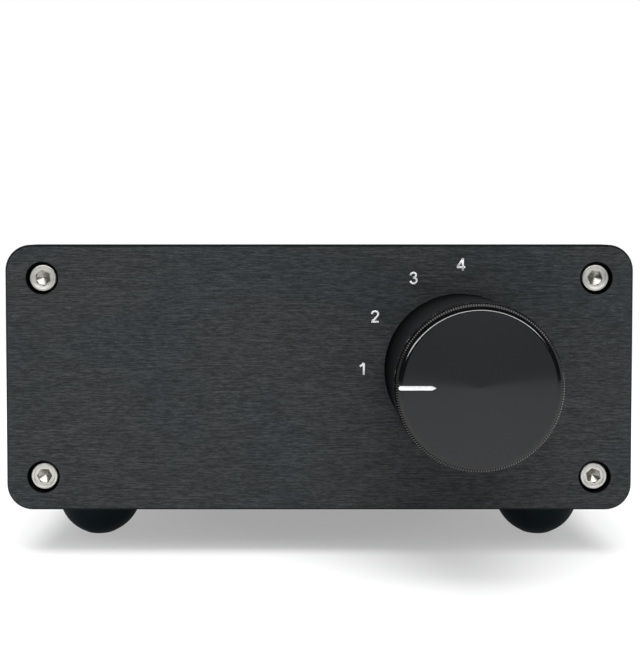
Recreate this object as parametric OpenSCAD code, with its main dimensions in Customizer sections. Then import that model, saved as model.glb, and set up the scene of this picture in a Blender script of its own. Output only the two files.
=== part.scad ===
// Audio source selector: four stereo inputs, one stereo output and one rotary switch behind a round knob.
// Millimetres. +X is right and +Z up as seen from the front, and +Y runs from front to back.
// The origin lies on the surface that the feet stand on, under the middle of the whole object.

/* [Case] */
// Width of the sleeve and of the rear panel
case_w = 120; // [115:1:160]
// Height of the sleeve and of the rear panel
case_h = 49; // [47:1:70]
// Length of the sleeve between the panels
sleeve_len = 80; // [75:1:140]
// Wall of the sleeve
wall = 2.2; // [1.6:0.1:2.8]
// Corner radius of the sleeve and of both panels
corner_r = 5; // [3.5:0.5:7]
// Sideways distance from the edge of the case to a panel screw
screw_side = 6; // [5.5:0.25:7]
// Upright distance from the edge of the sleeve to a panel screw
screw_top = 5; // [4.5:0.25:6]
// Diameter of a screw boss inside the sleeve
boss_d = 7; // [5.5:0.25:8]

/* [Front panel] */
// Thickness of the front panel
front_t = 6; // [5.5:0.5:10]
// How far the front panel stands above and below the sleeve
front_lip = 1.5; // [0:0.25:3]
// How far the front panel stands out beyond each side of the sleeve
front_side = 1.2; // [0:0.1:3]
// Bevel round the outer edge of both panels
edge_bevel = 0.4; // [0.2:0.1:0.8]
// Depth of the pocket behind the front panel that holds the switch
pocket_depth = 3; // [2:0.25:3.5]
// Gap between the switch plate and the wall of that pocket
pocket_gap = 0.6; // [0.2:0.1:1.5]

/* [Rear panel] */
// Thickness of the rear panel
rear_t = 3; // [2:0.25:4]

/* [Panel screws] */
// Shank of a panel screw
screw_d = 3; // [2.5:0.1:3.5]
// Gap all round a shank in its hole
screw_play = 0.1; // [0.05:0.05:0.3]
// Head of a front cap screw
cap_d = 5.5; // [5:0.1:6.5]
// Height of that head
cap_h = 3; // [2:0.1:3.5]
// How far that head lies below the face of the panel
cap_sunk = 0.8; // [0:0.1:1.5]
// Gap all round that head in its counterbore
cap_gap = 0.45; // [0.2:0.05:0.8]
// Bevel round the top of that head
cap_bevel = 0.4; // [0.1:0.05:0.6]
// Width across flats of the key socket
key_w = 2.5; // [2:0.1:3]
// Depth of the key socket
key_depth = 1.6; // [1:0.1:2]
// Shank length of a front screw
front_screw_len = 12; // [8:1:20]
// Head of a rear countersunk screw
flat_d = 5.4; // [4.8:0.1:6]
// Ring of bare countersink seen round that head
flat_ring = 0.5; // [0.2:0.1:0.8]
// Straight edge of that head
flat_edge = 0.25; // [0.1:0.05:0.4]
// Gap between that head and the countersink, along the screw
flat_play = 0.05; // [0.02:0.01:0.1]
// Length of the cross recess
cross_len = 3.9; // [2.5:0.1:4.2]
// Width of an arm of the cross recess
cross_w = 1.1; // [0.6:0.1:1.4]
// Depth of the cross recess
cross_depth = 0.9; // [0.5:0.1:1.2]
// Shank length of a rear screw, head and all
rear_screw_len = 11; // [8:1:18]

/* [Feet] */
// Diameter of a foot
foot_d = 17.2; // [12:0.2:20]
// Height of a foot
foot_h = 9.8; // [9.6:0.1:14]
// Flat at the bottom of the dome
foot_flat = 5; // [3:0.5:8]
// Diameter of an adhesive pad
pad_d = 15; // [10:0.5:17]
// Thickness of an adhesive pad
pad_t = 0.7; // [0.4:0.1:1.2]
// Sideways distance from the edge of the case to the middle of a foot
foot_side = 13.8; // [10:0.2:25]
// Distance from the front end of the sleeve to the middle of a front foot
foot_front = 13; // [10:0.5:30]
// Distance from the rear end of the sleeve to the middle of a rear foot
foot_rear = 18; // [10:0.5:30]

/* [Knob] */
// Diameter of the knob
knob_d = 29.5; // [26:0.5:32]
// Height of the knob
knob_h = 26.5; // [20:0.5:30]
// Gap between the knob and the front panel
knob_gap = 1; // [0.5:0.1:2]
// Distance from the right edge of the case to the middle of the knob
knob_side = 32.6; // [28:0.2:38]
// Place of the knob above the middle of the panel
knob_rise = 1.8; // [-1:0.2:2.4]
// Radius of the round edge at the front of the knob
rim_round = 1.3; // [0.6:0.1:1.6]
// Bevel round the back of the knob
back_bevel = 0.3; // [0.2:0.1:0.6]
// Hollow at the back of the knob
hollow_d = 17; // [16:0.5:20]
// Room between that hollow's floor and the clip on the shaft
clip_room = 1; // [0.6:0.1:1.5]
// Metal left in front of the shaft bore
knob_front_t = 3.5; // [2:0.5:6]
// Length of the pointer line
pointer_len = 6.6; // [4:0.1:9]
// Width of the pointer line
pointer_w = 0.8; // [0.6:0.05:1.2]
// Depth of the groove for the pointer line
pointer_depth = 0.7; // [0.6:0.05:1]
// How far the pointer line lies below the face
pointer_sunk = 0.16; // [0.05:0.01:0.3]
// Distance from the rim to the outer end of the pointer line
pointer_edge = 0.7; // [0.7:0.1:2]
// Gap all round the pointer line in its groove
inlay_play = 0.02; // [0.01:0.01:0.05]
// Diameter of the grub screw
grub_d = 3; // [2:0.1:4]
// Length of the grub screw
grub_len = 6; // [4:0.5:9]
// Width across flats of the grub screw's key socket
grub_key = 1.5; // [1:0.1:1.8]
// Depth of that key socket
grub_key_depth = 3; // [1.5:0.25:3.5]

/* [Selector switch] */
// Number of positions
positions = 4; // [2:1:5]
// Turn from one position to the next, in degrees
step_deg = 30; // [30]
// Diameter of the switch shaft
shaft_d = 6; // [5:0.1:6.5]
// Gap all round the shaft in its bushing
shaft_play = 0.05; // [0.02:0.01:0.09]
// Gap all round the shaft in the parts pressed on it
press_play = 0.02; // [0.01:0.01:0.04]
// Depth of the flat along the front of the shaft
shaft_flat = 1.2; // [0.8:0.1:1.6]
// Diameter of the thin end of the shaft that runs in the wafer
pilot_d = 3; // [2:0.1:3.4]
// Diameter of the threaded bushing
bushing_d = 9; // [8.5:0.1:10]
// Gap all round the bushing in the holes it goes through
bushing_play = 0.1; // [0.05:0.05:0.3]
// Thread left in front of the bushing's nut
bushing_show = 2.5; // [1:0.25:4]
// Flange at the back of the bushing
flange_d = 13; // [11:0.25:14]
// Thickness of that flange
flange_t = 1; // [0.8:0.1:1.2]
// Width across flats of the bushing's nut
nut_w = 12; // [11:0.25:13]
// Thickness of that nut
nut_t = 2.2; // [1.5:0.1:3]
// Diameter of the washer under that nut
washer_d = 13.6; // [12:0.2:14.4]
// Thickness of that washer
washer_t = 0.6; // [0.4:0.1:1]
// Thickness of the spring clip on the shaft
clip_t = 0.6; // [0.4:0.1:0.9]
// Outside diameter of that clip
clip_d = 9; // [8:0.25:10]
// Room between parts that turn and parts that don't
turn_gap = 0.3; // [0.2:0.05:0.4]
// Thickness of the index plate
plate_t = 1.6; // [1.2:0.1:2]
// Distance from the shaft to the lug that keeps the plate from turning
lug_r = 10.5; // [9.5:0.25:11.5]
// Diameter of that lug
plate_lug_d = 2.4; // [2:0.1:3]
// Length of that lug
plate_lug_len = 1.8; // [1:0.1:2.2]
// Diameter of the housing of the switch
housing_d = 28; // [27.5:0.25:29]
// Front wall of that housing, flange pocket included
housing_front = 2; // [1.8:0.1:2.4]
// Distance from the shaft to a tie screw
tie_x = 16; // [15.5:0.25:17]
// Diameter of a tie screw
tie_d = 2; // [1.6:0.1:2.4]
// Head of a tie screw
tie_head_d = 3.6; // [3:0.1:4.4]
// Height of that head
tie_head_h = 0.8; // [0.6:0.05:0.85]
// Radius of the ear round a tie screw
ear_r = 2.6; // [2.4:0.1:3]
// Diameter of the index cam
cam_d = 18; // [16.5:0.25:18.5]
// Thickness of the index cam
cam_t = 3.2; // [2.8:0.1:3.6]
// Diameter of the detent ball
ball_d = 3; // [2.6:0.1:3.2]
// Gap all round the ball in its bore
ball_play = 0.1; // [0.05:0.05:0.15]
// How far the ball drops into a notch of the cam
ball_drop = 0.6; // [0.4:0.05:0.7]
// Room between the ball and the crests of the cam
ball_gap = 0.05; // [0.03:0.01:0.1]
// Length of the detent spring at rest
spring_len = 5; // [4:0.25:6]
// Wire of the detent spring
spring_wire = 0.4; // [0.3:0.05:0.45]
// Turns of the detent spring
spring_turns = 5; // [3:1:5]
// Cap over the detent spring
spring_cap = 1; // [0.8:0.1:1.5]
// Wall beside the detent spring
spring_wall = 0.8; // [0.6:0.1:1.2]
// Diameter of the rotor
rotor_d = 17; // [16.5:0.25:18]
// Thickness of the rotor
rotor_t = 2.6; // [2:0.1:3]
// Diameter of the room that the rotor turns in
rotor_room_d = 24; // [23.5:0.25:24.5]
// Half the angle of the rotor's stop tab, in degrees
tab_half = 6; // [4:0.5:9]
// Angle left between the tab and a stop, in degrees
tab_gap = 0.6; // [0.4:0.1:1.5]
// Angle of a fixed stop, in degrees
stop_deg = 14; // [10:1:20]
// Thickness of a wiper blade
blade_t = 0.4; // [0.3:0.05:0.5]
// Width of a wiper blade
blade_w = 1.2; // [1:0.1:1.6]
// Gap between a wiper blade and the contacts
wiper_gap = 0.1; // [0.05:0.01:0.2]
// Thickness of a contact pad
contact_t = 0.3; // [0.2:0.05:0.5]
// Radius on which the position contacts lie
contact_r = 7; // [6.4:0.1:7.6]
// Radius on which the common contacts lie
common_r = 4; // [3.6:0.1:4.4]
// Diameter of a contact pad
contact_d = 1.8; // [1.4:0.1:2]
// Diameter of a contact pin
contact_pin_d = 1; // [0.8:0.05:1.1]
// Gap all round a pin in its hole
contact_play = 0.05; // [0.02:0.01:0.1]
// Thickness of the wafer and of both boards
board_t = 1.6; // [1.2:0.1:2]
// Room between the wafer and the switch board
board_gap = 1; // [0.9:0.1:2]
// How far pins stand past a board
pin_show = 1; // [0.6:0.1:1.5]

/* [Boards and ribbon] */
// Width of the switch board
switch_board_w = 40; // [38:0.5:42]
// Height of the switch board
switch_board_h = 28; // [26:0.5:30]
// Height of the rear board
rear_board_h = 29; // [27:0.5:30]
// Margin of the rear board beyond the outer jack axes, sideways
rear_board_edge = 4; // [3:0.25:4.5]
// Distance from the shaft to the plug on the switch board
header_off = 14; // [13:0.25:15]
// Thickness of a header and of a plug, sideways
header_w = 5.5; // [4:0.25:6]
// Length of a header and of a plug, upright
header_len = 14; // [13:0.5:15]
// Depth of a header
header_h = 6; // [4:0.5:8]
// Depth of a ribbon plug
plug_h = 4.6; // [4:0.2:7]
// Width of the ribbon cable
ribbon_w = 12.7; // [10:0.1:12.8]
// Thickness of the ribbon cable
ribbon_t = 0.9; // [0.6:0.1:1.2]
// Radius of the ribbon's bends, at the middle of its thickness
ribbon_r = 5; // [3:0.5:6]
// Straight of the ribbon beside each plug
ribbon_lead = 3; // [2:0.25:4]

/* [Phono jacks] */
// Distance from the right edge of the case to the output column
out_side = 13; // [12:0.25:14]
// Distance from the left edge of the case to the last input column
in_side = 17.5; // [16:0.25:20]
// Distance from one input column to the next
in_pitch = 18.1; // [17.6:0.1:18.4]
// Distance between the two rows
row_gap = 20.6; // [19.5:0.1:21]
// Diameter of an outer washer
jack_washer_d = 16.4; // [15:0.1:17]
// Thickness of an outer washer
jack_washer_t = 1.6; // [1.2:0.1:2.2]
// Bevel round an outer washer
jack_washer_bevel = 0.5; // [0.2:0.05:0.8]
// Shoulder of a washer, in the hole of the panel
shoulder_d = 9.6; // [9.2:0.1:10.4]
// Gap all round that shoulder
shoulder_play = 0.1; // [0.05:0.05:0.3]
// Room between the shoulders of an outer and an inner washer
shoulder_gap = 0.2; // [0.1:0.1:0.6]
// Width across flats of the hexagon on a jack
hex_w = 11.8; // [10.5:0.1:12.4]
// Thickness of that hexagon
hex_t = 2.4; // [2:0.1:3]
// How far the turned face of that hexagon stays inside its flats
hex_inset = 0.2; // [0.1:0.05:0.4]
// Slope of the turned corners, in degrees
hex_slope = 30; // [20:5:40]
// Diameter of the turned root ring
root_d = 9.5; // [9:0.1:10]
// Length of that ring
root_len = 0.8; // [0.5:0.1:1.2]
// Diameter of the neck behind the front band
neck_d = 7.6; // [7:0.1:8]
// Length of that neck
neck_len = 3.8; // [3:0.1:5]
// Diameter of the front band that the plug's shell grips
barrel_d = 8.3; // [8.1:0.05:8.4]
// Length of that band
barrel_len = 4.9; // [4:0.1:6]
// Bevel round the front of the band
barrel_bevel = 0.3; // [0.1:0.05:0.5]
// Diameter of the threaded stem through the panel
stem_d = 8; // [7.4:0.1:8.4]
// Gap all round the stem in what it goes through
stem_play = 0.1; // [0.05:0.05:0.2]
// Length of the stem behind the face of the rear panel
stem_len = 9; // [8.5:0.1:10]
// Diameter of the insulating core
core_d = 5.8; // [5.4:0.1:6.2]
// Gap all round the core in the shell
core_play = 0.02; // [0.01:0.01:0.04]
// How far the core lies behind the front of the band
core_sunk = 0.2; // [0:0.05:0.5]
// How far the core stands out of the back of the stem
core_tail = 0.5; // [0.2:0.1:1]
// Hole in the core for the plug's pin
pin_hole_d = 3.7; // [3.6:0.05:3.9]
// Inside of the centre contact
contact_id = 3.24; // [3.2:0.02:3.3]
// Outside of the centre contact
contact_od = 4.6; // [4.4:0.1:4.8]
// Where the centre contact starts, ahead of the rear panel
contact_start = 4; // [3:0.25:6]
// Floor of the centre contact
contact_floor = 1; // [0.6:0.1:2]
// Diameter of the contact's tail
tail_d = 1.8; // [1.2:0.1:2]
// Diameter of an inner washer
inner_washer_d = 13.6; // [13:0.2:14.4]
// Thickness of an inner washer
inner_washer_t = 1.2; // [0.8:0.1:1.4]
// Outside of a ground lug's ring
lug_d = 12.4; // [11.5:0.1:12.8]
// Thickness of a ground lug
lug_t = 0.5; // [0.4:0.05:0.7]
// Width of a ground lug's leg
lug_leg_w = 1.5; // [1:0.1:2]
// Distance from the jack's axis to that leg
lug_leg_r = 7.1; // [6.8:0.1:7.4]
// Width across flats of the nut inside
inner_nut_w = 11; // [10:0.1:11.4]
// Thickness of that nut
inner_nut_t = 2.5; // [2:0.1:2.6]
// Room between the stems and the rear board
rear_board_gap = 2.5; // [2:0.25:4]

/* [Hidden] */
$fn = 64;
// Overshoot of a cut past a face
cut = 1;
// Turn of each hexagon, outputs first, seen from behind
hex_turns_top = [3, 8, 33, 34, 21];
hex_turns_bottom = [3, 9.5, -8.5, -9, 15.5];
// Turn of each rear screw's cross recess
cross_turns = [28, 62, 24, 70];
// Turn of the bushing's nut
nut_turn = 10;
// Place of the rotor's stop tab in the first position, counted from +X towards +Z
tab_deg = 225;
// Places along Y
jack_out = jack_washer_t + hex_t + root_len + neck_len + barrel_len;
total_len = knob_h + knob_gap + front_t + sleeve_len + rear_t + jack_out;
y_knob = -total_len / 2;
y_knob_back = y_knob + knob_h;
y_front = y_knob_back + knob_gap;
y_sleeve = y_front + front_t;
y_sleeve_end = y_sleeve + sleeve_len;
y_rear = y_sleeve_end + rear_t;
// Places along Z
z_case = foot_h + pad_t;
z_mid = z_case + case_h / 2;
z_knob = z_mid + knob_rise;
front_w = case_w + 2 * front_side;
front_h = case_h + 2 * front_lip;
// Panel screws, feet and knob
screw_x = case_w / 2 - screw_side;
screw_z = case_h / 2 - screw_top;
screw_hole_d = screw_d + 2 * screw_play;
counterbore_d = cap_d + 2 * cap_gap;
sink_d = flat_d + 2 * flat_ring;
foot_x = case_w / 2 - foot_side;
knob_x = case_w / 2 - knob_side;
y_foot_front = y_sleeve + foot_front;
y_foot_rear = y_sleeve_end - foot_rear;
// Knob and shaft
bore_d = shaft_d + 2 * shaft_play;
bushing_out = washer_t + nut_t + bushing_show;
y_bushing = y_front - bushing_out;
clip_groove_d = shaft_d - 2 * clip_t;
y_clip = y_bushing - turn_gap - clip_t;
hollow_floor = y_clip - clip_room;
y_bore_end = y_knob + knob_front_t;
y_shaft = y_bore_end + turn_gap;
grub_y = (hollow_floor + y_bore_end) / 2;
grub_r = shaft_d / 2 - shaft_flat + inlay_play;
face_r = knob_d / 2 - rim_round;
pointer_r = knob_d / 2 - pointer_edge;
// Switch stack, from the floor of the pocket to the back
turn_range = (positions - 1) * step_deg;
y_plate = y_sleeve - pocket_depth;
y_housing = y_plate + plate_t;
y_cam = y_housing + housing_front + turn_gap;
y_cam_end = y_cam + cam_t;
y_rotor_room = y_cam_end + turn_gap / 2;
y_rotor = y_rotor_room + turn_gap;
y_rotor_end = y_rotor + rotor_t;
y_pads = y_rotor_end + blade_t + wiper_gap;
y_wafer = y_pads + contact_t;
y_wafer_end = y_wafer + board_t;
y_board = y_wafer_end + board_gap;
y_board_end = y_board + board_t;
plate_w = 2 * (tie_x + ear_r);
plate_h = housing_d + 2 * turn_gap;
cam_room_r = cam_d / 2 + turn_gap;
ball_r = ball_d / 2;
ball_z = cam_d / 2 + ball_gap + ball_r;
ball_y = (y_cam + y_cam_end) / 2;
ball_bore_r = ball_r + ball_play;
spring_z = ball_z + ball_r + turn_gap / 2;
spring_end = spring_z + spring_len;
boss_top = spring_end + turn_gap / 2 + spring_cap;
boss_half = ball_bore_r + spring_wall;
// Boards and ribbon
header_x = knob_x - header_off;
y_rear_board = y_rear - stem_len - rear_board_gap;
y_tail = y_rear_board - board_t - pin_show;
y_plug_a = y_board_end + header_h;
y_plug_b = y_rear_board - board_t - header_h - plug_h;
// Phono jacks: distances outward from the face of the rear panel
jack_names = ["out", "in1", "in2", "in3", "in4"];
out_x = case_w / 2 - out_side;
last_x = in_side - case_w / 2;
jack_xs = [out_x, for (i = [3 : -1 : 0]) last_x + i * in_pitch];
row_z = row_gap / 2;
panel_hole_d = shoulder_d + 2 * shoulder_play;
stem_hole_d = stem_d + 2 * stem_play;
hex_at = jack_washer_t;
root_at = hex_at + hex_t;
neck_at = root_at + root_len;
band_at = neck_at + neck_len;
lug_at = -rear_t - inner_washer_t - lug_t;
shoulder_len = (rear_t - shoulder_gap) / 2;
core_back = -stem_len - core_tail;
tail_len = y_rear - y_tail;

// Outline in X and Z, drawn out along Y from y0 to y1
module slab(y0, y1) {
    translate([0, y1, 0]) rotate([90, 0, 0]) linear_extrude(y1 - y0) children();
}

// Round bar along Y at x, z
module rod(x, z, y0, y1, d) {
    translate([x, y1, z]) rotate([90, 0, 0]) cylinder(h = y1 - y0, d = d);
}

// Hexagonal bar along Y, given across its flats
module hex_rod(x, z, y0, y1, across, turn) {
    translate([x, y1, z]) rotate([90, 0, 0]) rotate([0, 0, turn])
        cylinder(h = y1 - y0, d = across / cos(30), $fn = 6);
}

// Turned shape about Y: points are [radius, distance towards the back from y0]
module turned(x, z, y0, points) {
    translate([x, y0, z]) rotate([-90, 0, 0]) rotate_extrude() polygon(points);
}

// Rounded rectangle in X and Z about z_mid
module rounded(w, h, r) {
    translate([0, z_mid]) {
        square([w - 2 * r, h], center = true);
        square([w, h - 2 * r], center = true);
        for (sx = [-1, 1], sz = [-1, 1]) {
            translate([sx * (w / 2 - r), sz * (h / 2 - r)]) circle(r = r);
        }
    }
}

// Plate in X and Y with rounded corners and a bevelled top edge, t thick along Z
module bevelled_plate(w, h, r, t, bevel) {
    for (sx = [-1, 1], sy = [-1, 1]) {
        translate([sx * (w / 2 - r), sy * (h / 2 - r), 0]) {
            cylinder(h = t - bevel, r = r);
            translate([0, 0, t - bevel]) cylinder(h = bevel, r1 = r, r2 = r - bevel);
        }
    }
    translate([-w / 2 + r, 0, 0]) rotate([90, 0, 90])
        linear_extrude(w - 2 * r) bevelled_end(h, t, bevel);
    translate([0, h / 2 - r, 0]) rotate([90, 0, 0])
        linear_extrude(h - 2 * r) bevelled_end(w, t, bevel);
}

module bevelled_end(w, t, bevel) {
    polygon([[-w / 2, 0], [w / 2, 0], [w / 2, t - bevel], [w / 2 - bevel, t],
        [-w / 2 + bevel, t], [-w / 2, t - bevel]]);
}

// Copies at the four panel screws, with their number
module at_panel_screws() {
    for (i = [0 : 3]) {
        $screw = i;
        sx = i % 2 == 0 ? -1 : 1;
        sz = i < 2 ? 1 : -1;
        translate([sx * screw_x, 0, z_mid + sz * screw_z]) children();
    }
}

// Copies at the jacks of one row: +1 is the upper row, -1 the lower
module at_row(row) {
    for (x = jack_xs) translate([x, y_rear, z_mid + row * row_z]) children();
}

module at_jacks() {
    at_row(1) children();
    at_row(-1) children();
}

// Sector of a ring in X and Z, angles counted from +X towards +Z
module ring_sector(r0, r1, from, to) {
    reach = r1 * 2;
    mid = (from + to) / 2;
    intersection() {
        difference() {
            circle(r = r1);
            circle(r = r0);
        }
        polygon([[0, 0], for (a = [from, mid, to]) reach * [cos(a), sin(a)]]);
    }
}

module at_shaft() {
    translate([knob_x, 0, z_knob]) children();
}

module body_sleeve() {
    color("#26282a") slab(y_sleeve, y_sleeve_end) difference() {
        rounded(case_w, case_h, corner_r);
        difference() {
            rounded(case_w - 2 * wall, case_h - 2 * wall, corner_r - wall);
            for (sx = [-1, 1], sz = [-1, 1]) {
                translate([sx * screw_x, z_mid + sz * screw_z]) screw_boss(sx, sz);
            }
        }
        for (sx = [-1, 1], sz = [-1, 1]) {
            translate([sx * screw_x, z_mid + sz * screw_z]) circle(d = screw_hole_d);
        }
    }
}

// Boss outline with the web that joins it to the corner of the sleeve
module screw_boss(sx, sz) {
    circle(d = boss_d);
    scale([sx, sz]) {
        translate([0, -boss_d / 2]) square([screw_side, boss_d / 2 + screw_top]);
        translate([-boss_d / 2, 0]) square([boss_d / 2 + screw_side, screw_top]);
    }
}

module front_panel() {
    color("#2b2d2f") difference() {
        translate([0, y_sleeve, z_mid]) rotate([90, 0, 0])
            bevelled_plate(front_w, front_h, corner_r, front_t, edge_bevel);
        at_panel_screws() {
            rod(0, 0, y_front - cut, y_front + cap_sunk + cap_h, counterbore_d);
            rod(0, 0, y_front, y_sleeve + cut, screw_hole_d);
        }
        at_shaft() {
            rod(0, 0, y_front - cut, y_sleeve, bushing_d + 2 * bushing_play);
            rod(0, -lug_r, y_plate - plate_lug_len - turn_gap, y_sleeve,
                plate_lug_d + 2 * screw_play);
            slab(y_plate, y_sleeve + cut)
                square([plate_w + 2 * pocket_gap, plate_h + 2 * pocket_gap], center = true);
        }
    }
}

module rear_panel() {
    color("#2b2d2f") difference() {
        translate([0, y_sleeve_end, z_mid]) rotate([-90, 0, 0])
            bevelled_plate(case_w, case_h, corner_r, rear_t, edge_bevel);
        at_panel_screws() {
            rod(0, 0, y_sleeve_end - cut, y_rear, screw_hole_d);
            turned(0, 0, y_rear, [[0, -sink_d / 2], [sink_d / 2, 0], [sink_d / 2, cut], [0, cut]]);
        }
        at_jacks() rod(0, 0, -rear_t - cut, cut, panel_hole_d);
    }
}

module front_screws() {
    y_head = y_front + cap_sunk;
    cap_r = cap_d / 2;
    color("#c9cbcc") at_panel_screws() difference() {
        union() {
            turned(0, 0, y_head, [[0, 0], [cap_r - cap_bevel, 0], [cap_r, cap_bevel],
                [cap_r, cap_h], [0, cap_h]]);
            rod(0, 0, y_head, y_head + cap_h + front_screw_len, screw_d);
        }
        hex_rod(0, 0, y_head - cut, y_head + key_depth, key_w, 0);
    }
}

module rear_screws() {
    flat_r = flat_d / 2;
    y_head = y_rear - flat_ring + flat_play + flat_edge;
    color("#151515") at_panel_screws() difference() {
        turned(0, 0, y_head, [[0, 0], [flat_r, 0], [flat_r, -flat_edge],
            [screw_d / 2, -flat_edge - flat_r + screw_d / 2], [screw_d / 2, -rear_screw_len],
            [0, -rear_screw_len]]);
        translate([0, y_head, 0]) rotate([0, cross_turns[$screw], 0]) {
            cube([cross_len, 2 * cross_depth, cross_w], center = true);
            cube([cross_w, 2 * cross_depth, cross_len], center = true);
        }
    }
}

// Rubber dome: sx picks left or right, y is where it stands along the case
module foot(sx, y) {
    foot_r = foot_d / 2;
    z_round = sqrt(foot_r * foot_r - foot_flat * foot_flat / 4);
    color("#161616") translate([sx * foot_x, y, 0]) intersection() {
        union() {
            translate([0, 0, z_round]) sphere(d = foot_d);
            translate([0, 0, z_round]) cylinder(h = foot_h - z_round, d = foot_d);
        }
        cylinder(h = foot_h, d = foot_d + cut);
    }
}

module foot_pads() {
    color("#0d0d0d") for (sx = [-1, 1], y = [y_foot_front, y_foot_rear]) {
        translate([sx * foot_x, y, foot_h]) cylinder(h = pad_t, d = pad_d);
    }
}

module knob() {
    r = knob_d / 2;
    edge = [for (a = [0 : 15 : 90]) [face_r + rim_round * sin(a), rim_round * (1 - cos(a))]];
    back = [[r, knob_h - back_bevel], [r - back_bevel, knob_h], [0, knob_h]];
    color("#1b1c1d") difference() {
        at_shaft() turned(0, 0, y_knob, concat([[0, 0]], edge, back));
        at_shaft() {
            rod(0, 0, hollow_floor, y_knob_back + cut, hollow_d);
            rod(0, 0, y_bore_end, y_knob_back, bore_d);
            translate([0, grub_y, 0]) rotate([0, 90, 0])
                cylinder(h = knob_d, d = grub_d + 2 * press_play);
        }
        pointer_shape(0, pointer_depth);
    }
}

// Line with a round outer end and a pointed inner end, at nine o'clock, between two depths in the face
module pointer_shape(play, depth, top = -1) {
    half = pointer_w / 2 - play;
    outer = pointer_r - pointer_w / 2;
    inner = pointer_r - pointer_len;
    round_end = [for (a = [90 : 15 : 270]) [half * cos(a) - outer, half * sin(a)]];
    tip = [[-inner - pointer_w, -half], [-inner - play, 0], [-inner - pointer_w, half]];
    at_shaft() slab(y_knob + top, y_knob + depth) polygon(concat(round_end, tip));
}

module knob_pointer() {
    color("#d8d9da") pointer_shape(inlay_play, pointer_depth, pointer_sunk);
}

module knob_set_screw() {
    color("#3a3a3c") at_shaft() translate([grub_r, grub_y, 0]) rotate([0, 90, 0]) difference() {
        cylinder(h = grub_len, d = grub_d);
        translate([0, 0, grub_len - grub_key_depth])
            cylinder(h = grub_len, d = grub_key / cos(30), $fn = 6);
    }
}

module switch_shaft() {
    flat_at = shaft_d / 2 - shaft_flat;
    color("#b9bbbd") at_shaft() difference() {
        union() {
            rod(0, 0, y_shaft, y_rotor_end, shaft_d);
            rod(0, 0, y_rotor_end, y_wafer_end, pilot_d);
        }
        slab(y_shaft - cut, hollow_floor) translate([flat_at, -shaft_d]) square(2 * shaft_d);
        slab(y_clip, y_clip + clip_t) difference() {
            circle(d = shaft_d + cut);
            circle(d = clip_groove_d);
        }
    }
}

module shaft_clip() {
    mouth = clip_groove_d - clip_t;
    color("#8d8f91") at_shaft() slab(y_clip + press_play, y_clip + clip_t - press_play) difference() {
        circle(d = clip_d);
        circle(d = clip_groove_d + 2 * press_play);
        translate([-mouth / 2, -clip_d]) square([mouth, clip_d]);
    }
}

module switch_bushing() {
    color("#c2b280") at_shaft() difference() {
        union() {
            rod(0, 0, y_bushing, y_housing, bushing_d);
            rod(0, 0, y_housing, y_housing + flange_t, flange_d);
        }
        rod(0, 0, y_bushing - cut, y_housing + flange_t + cut, bore_d);
    }
}

module switch_nut() {
    color("#c9cbcc") at_shaft() difference() {
        hex_rod(0, 0, y_front - washer_t - nut_t, y_front - washer_t, nut_w, nut_turn);
        rod(0, 0, y_bushing, y_front, bushing_d + 2 * bushing_play);
    }
}

module switch_washer() {
    color("#b0b2b4") at_shaft() slab(y_front - washer_t, y_front) difference() {
        circle(d = washer_d);
        circle(d = bushing_d + 2 * bushing_play);
    }
}

module index_plate() {
    color("#a8aaad") at_shaft() {
        slab(y_plate, y_housing) difference() {
            square([plate_w, plate_h], center = true);
            circle(d = bushing_d + 2 * bushing_play);
            tie_holes();
        }
        rod(0, -lug_r, y_plate - plate_lug_len, y_plate, plate_lug_d);
    }
}

module tie_holes() {
    for (sx = [-1, 1]) translate([sx * tie_x, 0]) circle(d = tie_d + 2 * screw_play);
}

// Outline shared by the housing and the wafer: a disc with an ear at each tie screw
module eared_disc() {
    circle(d = housing_d);
    for (sx = [-1, 1]) {
        translate([sx * tie_x, 0]) circle(r = ear_r);
        translate([sx * tie_x / 2, 0]) square([tie_x, 2 * ear_r], center = true);
    }
}

module index_housing() {
    tab_end = tab_deg - turn_range;
    stop_off = tab_half + tab_gap;
    stop_r = rotor_d / 2 + turn_gap;
    color("#202124") at_shaft() difference() {
        union() {
            slab(y_housing, y_wafer) eared_disc();
            slab(ball_y - boss_half, ball_y + boss_half)
                translate([-boss_half, 0]) square([2 * boss_half, boss_top]);
        }
        rod(0, 0, y_housing - cut, y_housing + flange_t, flange_d + 2 * bushing_play);
        rod(0, 0, y_housing, y_wafer, shaft_d + 2 * turn_gap);
        rod(0, 0, y_housing + housing_front, y_rotor_room, 2 * cam_room_r);
        slab(y_rotor_room, y_wafer + cut) difference() {
            circle(d = rotor_room_d);
            ring_sector(stop_r, rotor_room_d, tab_deg + stop_off, tab_deg + stop_off + stop_deg);
            ring_sector(stop_r, rotor_room_d, tab_end - stop_off - stop_deg, tab_end - stop_off);
        }
        slab(y_housing - cut, y_wafer + cut) tie_holes();
        translate([0, ball_y, 0]) cylinder(h = boss_top - spring_cap, r = ball_bore_r);
    }
}

module index_cam() {
    notch_r = ball_r + ball_play;
    notch_at = ball_z - ball_drop;
    color("#d9d4c4") at_shaft() slab(y_cam, y_cam_end) difference() {
        circle(d = cam_d);
        circle(d = shaft_d + 2 * press_play);
        for (a = [0 : step_deg : 360 - step_deg]) rotate(a) translate([notch_at, 0]) circle(r = notch_r);
    }
}

module detent_ball() {
    color("#d0d2d4") at_shaft() translate([0, ball_y, ball_z]) sphere(d = ball_d);
}

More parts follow.
